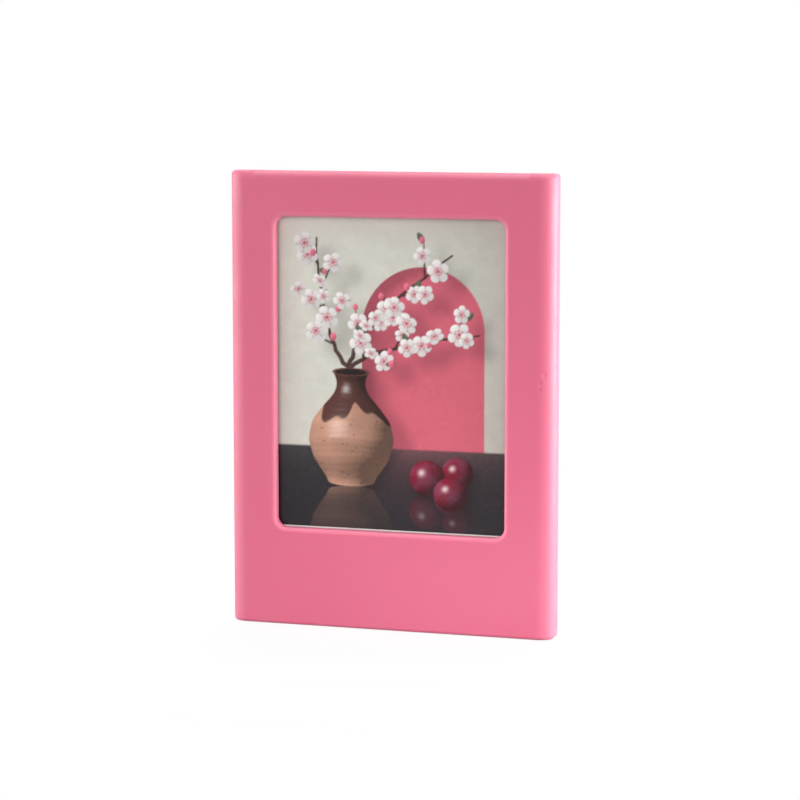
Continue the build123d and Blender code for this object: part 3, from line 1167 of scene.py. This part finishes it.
def paint_vase(layer, random, tones):
    """Thrown vase with a dark glaze that runs down from its lip."""
    shares = (0.0, 0.04, 0.20, 0.38, 0.55, 0.70, 0.80, 0.88, 0.95, 1.0)
    halves = (4.7, 5.2, 7.8, 9.0, 8.2, 5.6, 3.5, 2.9, 3.1, 3.9)
    rows = layer.z[:, 0]
    width = np.interp((rows - VASE_FOOT) / VASE_HEIGHT, shares, halves)
    width = blurred(width[:, None], 0.7 / layer.pitch)
    slope = np.gradient(width[:, 0], rows)[:, None]
    across = (layer.x - VASE_X) / width
    facing = np.sqrt(np.clip(1.0 - across**2, 0.0, 1.0))
    level = (layer.z - VASE_FOOT) / VASE_HEIGHT
    lip = VASE_FOOT + VASE_HEIGHT
    cover = inside((np.abs(across) - 1.0) * width)
    cover = cover * inside(VASE_FOOT - 0.9 * facing - layer.z) * inside(layer.z - lip)

    ripple = 0.05 * np.sin(layer.z * 5.2 + clouds(random, layer.x.shape, 6.0))
    tilt = ripple - slope
    norm = np.sqrt(1.0 + tilt**2)
    normal = (np.clip(across, -1.0, 1.0) / norm, facing / norm, tilt / norm)

    speckle = np.clip(clouds(random, layer.x.shape, 0.9) - 1.7, 0.0, 1.0)
    clay = tones["clay"] * (1.0 + 0.05 * clouds(random, layer.x.shape, 5.0))[..., None]
    clay = clay * (1.0 - 0.55 * speckle)[..., None]
    runs = 0.62 + 0.07 * np.sin(across * 4.2 + 0.6) + 0.035 * np.sin(across * 11.0)
    glaze = inside((runs - level) * VASE_HEIGHT, 0.5)[..., None]
    body = clay + (tones["glaze"] - clay) * glaze
    layer.paint(lit(body, normal, 0.20 + 0.18 * glaze, 38.0), cover)

    mouth = np.hypot((layer.x - VASE_X) / halves[-1], (layer.z - lip) / 0.85) - 1.0
    layer.paint(tones["glaze"] * 1.5, inside(mouth * 1.6))
    throat = np.hypot((layer.x - VASE_X) / 3.3, (layer.z - lip + 0.06) / 0.6) - 1.0
    layer.paint(tones["bark"] * 0.35, inside(throat * 1.6))


def grow_branches(random):
    """Branches out of the vase with side twigs, as (points, widths), and the places where blossoms sit."""
    root = np.array((VASE_X, VASE_FOOT + VASE_HEIGHT))
    spread = (((-2.5, 6.5), (12.5, 23.5)), ((-6.5, 6.0), (-15.5, 26.5)), ((-0.5, 4.5), (18.0, 8.0)))
    strokes = []
    seats = []
    for bend, end in spread:
        bough = bent_line(root, root + np.array(bend), end, 16)
        bough[1:-1] += random.normal(0.0, 0.16, bough[1:-1].shape)
        strokes.append((bough, np.linspace(0.50, 0.18, 16)))
        for index in range(5, 15, 2):
            way = bough[index + 1] - bough[index - 1]
            way /= np.linalg.norm(way)
            angle = random.uniform(0.5, 1.0) * (1 if index % 4 == 1 else -1)
            turn = np.array(((math.cos(angle), -math.sin(angle)), (math.sin(angle), math.cos(angle))))
            reach = turn @ way * random.uniform(3.0, 6.5)
            tip = bough[index] + reach + np.array((0.0, 0.8))
            twig = bent_line(bough[index], bough[index] + reach * 0.55, tip, 6)
            strokes.append((twig, np.linspace(0.24, 0.10, 6)))
            seats += [twig[3], twig[5]]
        seats += [bough[index] for index in range(6, 16, 2)]
    return strokes, seats


def paint_blossom(layer, random, tones, x, z, radius):
    """Five-petalled blossom, tilted a little away from the viewer."""
    window = layer.window(x, z, 1.5 * radius)
    turn = random.uniform(0.0, 2.0 * math.pi)
    tilt = random.uniform(0.62, 1.0)
    lean = random.uniform(0.0, math.pi)
    right = layer.x[window] - x
    up = layer.z[window] - z
    along = right * math.cos(lean) + up * math.sin(lean)
    over = (up * math.cos(lean) - right * math.sin(lean)) / tilt
    out = np.hypot(along, over) / radius
    petal = np.abs(np.cos(2.5 * (np.arctan2(over, along) + turn)))
    day = 0.86 + 0.13 * np.clip((up - right) / radius, -1.0, 1.0)
    crease = 1.0 - 0.34 * (1.0 - petal) ** 3 * np.clip(out * 1.6, 0.0, 1.0)
    cup = 0.90 + 0.10 * np.clip(out, 0.0, 1.0)
    blush = 0.75 * np.exp(-((out / 0.36) ** 2))[..., None]
    tone = tones["petal"] * (day * crease * cup)[..., None]
    tone = tone + (tones["blush"] - tone) * blush
    layer.paint(tone, inside((out - 0.66 - 0.34 * petal**0.55) * radius, 0.22), window)
    for step in range(9):
        way = turn + step * 2.0 * math.pi / 9 + random.uniform(-0.2, 0.2)
        far = radius * random.uniform(0.24, 0.46)
        dot = np.hypot(along - far * math.cos(way), over - far * math.sin(way)) - 0.055 * radius
        layer.paint(tones["stamen"], inside(dot) * 0.85, window)
    layer.paint(tones["blush"] * 0.55, inside((out - 0.12) * radius, 0.25), window)


def paint_bud(layer, tones, x, z, radius):
    """Closed bud."""
    window = layer.window(x, z, 2.0 * radius)
    right = (layer.x[window] - x) / radius
    up = (layer.z[window] - z) / (1.25 * radius)
    day = 0.98 + 0.28 * np.clip(up - right, -1.0, 1.0)
    layer.paint(tones["blush"] * day[..., None], inside((np.hypot(right, up) - 1.0) * radius), window)


def paint_leaf(layer, tones, x, z, length, angle):
    """Small pointed leaf with a paler midrib."""
    window = layer.window(x, z, 1.2 * length)
    right = layer.x[window] - x
    up = layer.z[window] - z
    along = (right * math.cos(angle) + up * math.sin(angle)) / length
    over = up * math.cos(angle) - right * math.sin(angle)
    half = 0.26 * length * np.sin(np.pi * np.clip(along, 0.0, 1.0)) ** 0.8
    outline = np.where((along > 0) & (along < 1), np.abs(over) - half, 1.0)
    day = 1.0 + 0.35 * np.sign(over) * math.cos(angle)
    layer.paint(tones["leaf"] * day[..., None], inside(outline, 0.25), window)
    rib = inside(np.abs(over) - 0.04, 0.15) * inside(outline)
    layer.paint(tones["leaf"] * 1.8, rib * 0.6, window)


def paint_flowers(layer, random, tones):
    """Branches first, then leaves, buds and blossoms along them."""
    strokes, seats = grow_branches(random)
    for points, widths in strokes:
        bark = stroke_distance(layer.x, layer.z, points, widths)
        layer.paint(tones["bark"], inside(bark))
        lighter = stroke_distance(layer.x + 0.14, layer.z - 0.10, points, widths * 0.45)
        layer.paint(tones["bark"] * 2.6, inside(lighter) * inside(bark) * 0.7)
    for index, (x, z) in enumerate(seats):
        angle = random.uniform(-0.4, math.pi + 0.4)
        if index % 3 == 0:
            paint_leaf(layer, tones, x, z, random.uniform(1.8, 3.0), angle)
        if index % 4 == 1:
            reach = 0.7
            paint_bud(layer, tones, x + reach * math.cos(angle), z + reach * math.sin(angle),
                      random.uniform(0.45, 0.65))
        else:
            nudge = random.normal(0.0, 0.5, 2)
            paint_blossom(layer, random, tones, x + nudge[0], z + nudge[1], random.uniform(1.5, 2.5))


def paint_plum(layer, random, tones, x, z, radius):
    """Round dark fruit with a dull bloom and a crease."""
    right = (layer.x - x) / radius
    up = (layer.z - z) / (0.96 * radius)
    out = np.hypot(right, up)
    facing = np.sqrt(np.clip(1.0 - out**2, 0.0, 1.0))
    bloom = np.clip(0.5 + 0.5 * clouds(random, layer.x.shape, 3.5), 0.0, 1.0) * 0.22
    crease = np.exp(-(((right - 0.28 * facing - 0.05) / 0.07) ** 2)) * np.clip(0.4 + up, 0.0, 1.0)
    skin = tones["plum"] * (1.0 - 0.35 * crease)[..., None]
    skin = skin + (tones["bloom"] - skin) * bloom[..., None]
    layer.paint(lit(skin, (right, facing, up), 0.55, 60.0, 0.16), inside((out - 1.0) * radius))


def mirrored(layer, foot, fade, strength):
    """Reflection of a layer in the table below its foot line, as a new layer."""
    rows = layer.z[:, 0]
    source = np.rint((2.0 * foot - rows - rows[0]) / layer.pitch).astype(int)
    seen = (source >= 0) & (source < len(rows)) & (rows < foot)
    source = np.clip(source, 0, len(rows) - 1)
    share = np.where(seen, strength * np.exp(-np.maximum(foot - rows, 0.0) / fade), 0.0)[:, None]
    copy = Layer(layer.x[0], rows)
    copy.cover = layer.cover[source] * share
    copy.colour = layer.colour[source] * share[..., None]
    return copy


def developed(painted, random):
    """Tone of an instant print: darker corners, milky blacks and fine grain."""
    rows, columns = painted.shape[:2]
    up = np.linspace(-1.0, 1.0, rows)[:, None]
    across = np.linspace(-1.0, 1.0, columns)[None, :]
    falloff, clear_middle, grain_share = 0.10, 0.55, 0.018
    contrast, milky_black = 0.985, 0.003
    corner = 1.0 - falloff * np.clip(np.hypot(across, up) - clear_middle, 0.0, None) ** 1.5
    grain = 1.0 + grain_share * random.standard_normal((rows, columns))
    return np.clip(painted * (corner * grain)[..., None] * contrast + milky_black, 0.0, 1.0)


def paint_picture(columns, rows, seed):
    """Still life of a vase of blossom and three plums, as linear colours on the grid."""
    colours = bpy.context.scene.photo_frame_picture
    tones = {name: np.array(getattr(colours, name)) for name in PictureColours.__annotations__}
    random = np.random.default_rng(seed)
    picture, flowers, vase, plums = (Layer(columns, rows) for _ in range(4))
    wall_shadow, table_shadow, vase_shadow, plum_shadow = 0.36, 0.55, 0.35, 0.45
    table = paint_backdrop(picture, random, tones)
    paint_flowers(flowers, random, tones)
    paint_vase(vase, random, tones)
    for x, z, radius in PLUMS:
        under = ((plums.x - x - 0.8) / radius) ** 2 + (plums.z - z + 0.8 * radius) ** 2
        plums.shade(1.0 - plum_shadow * np.exp(-under))
        paint_plum(plums, random, tones, x, z, radius)

    standing = np.maximum(flowers.cover, vase.cover)
    picture.shade(1.0 - wall_shadow * picture.shadow(standing, 4.2, 2.4, 1.1) * (1.0 - table))
    plum_foot = PLUMS[1][1] - PLUMS[1][2] + 0.4
    for foot, layer in ((VASE_FOOT - 0.9, vase), (plum_foot, plums)):
        picture.lay(mirrored(layer, foot, fade=5.0, strength=0.45))
        picture.shade(1.0 - table_shadow * picture.shadow(layer.cover, 0.8, 0.8, 1.2) * table)
    picture.lay(flowers)
    vase.shade(1.0 - vase_shadow * picture.shadow(flowers.cover, 1.0, 1.0, 0.6))
    picture.lay(vase)
    picture.lay(plums)
    return developed(picture.colour, random)


# Stage

def seen_directly(tree):
    """1 for camera, glossy and transmission rays, and 0 for the rest."""
    path = add_node(tree, "ShaderNodeLightPath").outputs
    seen = maths(tree, "MAXIMUM", path["Is Camera Ray"], path["Is Glossy Ray"])
    return maths(tree, "MAXIMUM", seen, path["Is Transmission Ray"])


def make_floor(stage):
    """Pale floor under the frame's foot that keeps a soft shadow near it and is plain white further off."""
    half = stage.floor_size / 2
    level = SHELL_LOW.z
    corners = [(-half, -half, level), (half, -half, level), (half, half, level), (-half, half, level)]
    mesh = bpy.data.meshes.new("floor")
    mesh.from_pydata(corners, [], [(0, 1, 2, 3)])
    floor = bpy.data.objects.new("floor", mesh)
    bpy.context.scene.collection.objects.link(floor)
    material = bpy.data.materials.new("pale floor")
    material.use_nodes = True
    tree = material.node_tree
    tree.nodes.clear()
    place = add_node(tree, "ShaderNodeTexCoord").outputs["Object"]
    far = add_node(tree, "ShaderNodeVectorMath", {0: place}, operation="LENGTH").outputs["Value"]
    share = span(tree, far, stage.floor_white, 1.0, stage.shadow_reach / 3, stage.shadow_reach)
    bounce = add_node(tree, "ShaderNodeLightPath").outputs["Is Diffuse Ray"]
    pale = mixed(tree, bounce, grey(stage.floor_grey), grey(stage.bounce_grey))
    diffuse = add_node(tree, "ShaderNodeBsdfDiffuse", {"Color": pale}).outputs[0]
    white = add_node(tree, "ShaderNodeEmission", {"Color": WHITE}).outputs[0]
    factor = maths(tree, "MULTIPLY", seen_directly(tree), share)
    surface = add_node(tree, "ShaderNodeMixShader", {0: factor, 1: diffuse, 2: white}).outputs[0]
    add_node(tree, "ShaderNodeOutputMaterial", {"Surface": surface})
    mesh.materials.append(material)


def make_world(stage):
    """White surroundings for the camera and reflections, with a plain level of light from all round."""
    world = bpy.data.worlds.new("white studio")
    bpy.context.scene.world = world
    world.use_nodes = True
    tree = world.node_tree
    tree.nodes.clear()
    strength = span(tree, seen_directly(tree), stage.ambient, 1.0, 0.0, 1.0)
    surface = add_node(tree, "ShaderNodeBackground", {"Color": WHITE, "Strength": strength}).outputs[0]
    add_node(tree, "ShaderNodeOutputWorld", {"Surface": surface})


def make_lamp(name, place, target, width, height, watts, seen=True):
    """Softbox that faces a target, and is seen or not in glossy surfaces."""
    lamp = bpy.data.lights.new(name, "AREA")
    lamp.shape = "RECTANGLE"
    lamp.size = width
    lamp.size_y = height
    lamp.energy = watts
    holder = bpy.data.objects.new(name, lamp)
    holder.location = place
    holder.rotation_euler = (Vector(target) - Vector(place)).to_track_quat("-Z", "Y").to_euler()
    holder.visible_camera = False
    holder.visible_glossy = seen
    bpy.context.scene.collection.objects.link(holder)


def build_stage():
    """Floor, soft lamps, white surroundings and the camera."""
    stage = bpy.context.scene.photo_frame_stage
    make_floor(stage)
    make_world(stage)
    middle = (0.0, 0.0, 0.0)
    make_lamp("right softbox", (0.75, -0.05, 0.0), middle, 0.5, 0.085, stage.right_lamp)
    make_lamp("edge softbox", (0.60, 0.42, 0.0), middle, 0.4, 0.085, stage.edge_lamp)
    make_lamp("side fill", (0.75, 0.02, 0.0), middle, 0.4, 0.4, stage.side_lamp, seen=False)
    make_lamp("left softbox", (-0.75, -0.28, 0.0), middle, 1.1, 0.085, stage.left_lamp)
    make_lamp("left fill", (-0.75, -0.16, 0.0), middle, 0.4, 0.4, stage.left_fill, seen=False)
    make_lamp("top softbox", (0.0, -0.15, 0.80), middle, 0.6, 0.4, stage.top_lamp)
    make_lamp("rear softbox", (-0.05, 0.65, 0.56), middle, 0.8, 0.5, stage.rear_lamp, seen=False)
    make_lamp("front softbox", (-0.10, -0.95, 0.30), middle, 0.9, 0.7, stage.front_lamp, seen=False)
    low_face = (0.025, 0.0, -0.030)
    make_lamp("low strip", (0.03, -0.08, -0.040), low_face, 0.14, 0.006, stage.low_lamp, seen=False)
    foot_face = (0.04, 0.0, -0.040)
    make_lamp("foot strip", (0.05, -0.035, -0.042), foot_face, 0.14, 0.004, stage.foot_lamp)
    camera = bpy.data.cameras.new("camera")
    camera.lens = stage.lens
    camera.sensor_width = SENSOR_WIDTH
    holder = bpy.data.objects.new("camera", camera)
    holder.location = stage.camera_place
    holder.rotation_euler = (math.pi / 2 - stage.elevation, 0.0, stage.azimuth)
    bpy.context.scene.collection.objects.link(holder)
    bpy.context.scene.camera = holder
    bpy.context.scene.view_settings.view_transform = "Standard"


# Operators, panel and registration

class PHOTOFRAME_OT_front_shell(bpy.types.Operator):
    """Build the moulded front shell"""

    bl_idname = "photo_frame.front_shell"
    bl_label = "Front Shell"

    def execute(self, context):
        build_front_shell()
        return {"FINISHED"}


class PHOTOFRAME_OT_rear_cover(bpy.types.Operator):
    """Build the back plate that snaps into the shell"""

    bl_idname = "photo_frame.rear_cover"
    bl_label = "Back Plate"

    def execute(self, context):
        build_rear_cover()
        return {"FINISHED"}


class PHOTOFRAME_OT_magnets(bpy.types.Operator):
    """Set the disc magnets and their glue films"""

    bl_idname = "photo_frame.magnets"
    bl_label = "Magnets"

    def execute(self, context):
        build_magnets()
        return {"FINISHED"}


class PHOTOFRAME_OT_print_sheets(bpy.types.Operator):
    """Build the print's border and back sheet and finish what lies between them"""

    bl_idname = "photo_frame.print_sheets"
    bl_label = "Print Sheets"

    def execute(self, context):
        build_print_border()
        build_print_back()
        finish_print_inside()
        return {"FINISHED"}


class PHOTOFRAME_OT_print_picture(bpy.types.Operator):
    """Paint the print's picture"""

    bl_idname = "photo_frame.print_picture"
    bl_label = "Print Picture"

    def execute(self, context):
        build_print_picture()
        return {"FINISHED"}


class PHOTOFRAME_OT_stage(bpy.types.Operator):
    """Set up the floor, the lamps and the camera"""

    bl_idname = "photo_frame.stage"
    bl_label = "Stage"

    def execute(self, context):
        build_stage()
        return {"FINISHED"}


class PHOTOFRAME_PT_sidebar(bpy.types.Panel):
    """Buttons for each piece of the photo frame"""

    bl_idname = "PHOTOFRAME_PT_sidebar"
    bl_label = "Photo Frame"
    bl_space_type = "VIEW_3D"
    bl_region_type = "UI"
    bl_category = "Photo Frame"

    def draw(self, context):
        for operator in OPERATORS:
            self.layout.operator(operator.bl_idname)


SETTINGS = {
    "photo_frame_shell": ShellSizes,
    "photo_frame_cover": CoverSizes,
    "photo_frame_print": PrintSizes,
    "photo_frame_magnets": MagnetSizes,
    "photo_frame_finishes": Finishes,
    "photo_frame_picture": PictureColours,
    "photo_frame_stage": StageSettings,
}
OPERATORS = (
    PHOTOFRAME_OT_front_shell,
    PHOTOFRAME_OT_rear_cover,
    PHOTOFRAME_OT_magnets,
    PHOTOFRAME_OT_print_sheets,
    PHOTOFRAME_OT_print_picture,
    PHOTOFRAME_OT_stage,
)


def register():
    """Makes the settings, the operators and the panel known to Blender."""
    for name, group in SETTINGS.items():
        bpy.utils.register_class(group)
        setattr(bpy.types.Scene, name, PointerProperty(type=group))
    for kind in OPERATORS + (PHOTOFRAME_PT_sidebar,):
        bpy.utils.register_class(kind)


def unregister():
    """Takes them out again."""
    for kind in reversed(OPERATORS + (PHOTOFRAME_PT_sidebar,)):
        bpy.utils.unregister_class(kind)
    for name, group in reversed(SETTINGS.items()):
        delattr(bpy.types.Scene, name)
        bpy.utils.unregister_class(group)


def main():
    """Builds every piece and the stage."""
    register()
    bpy.ops.photo_frame.front_shell()
    bpy.ops.photo_frame.rear_cover()
    bpy.ops.photo_frame.magnets()
    bpy.ops.photo_frame.print_sheets()
    bpy.ops.photo_frame.print_picture()
    bpy.ops.photo_frame.stage()


if __name__ == "__main__":
    main()
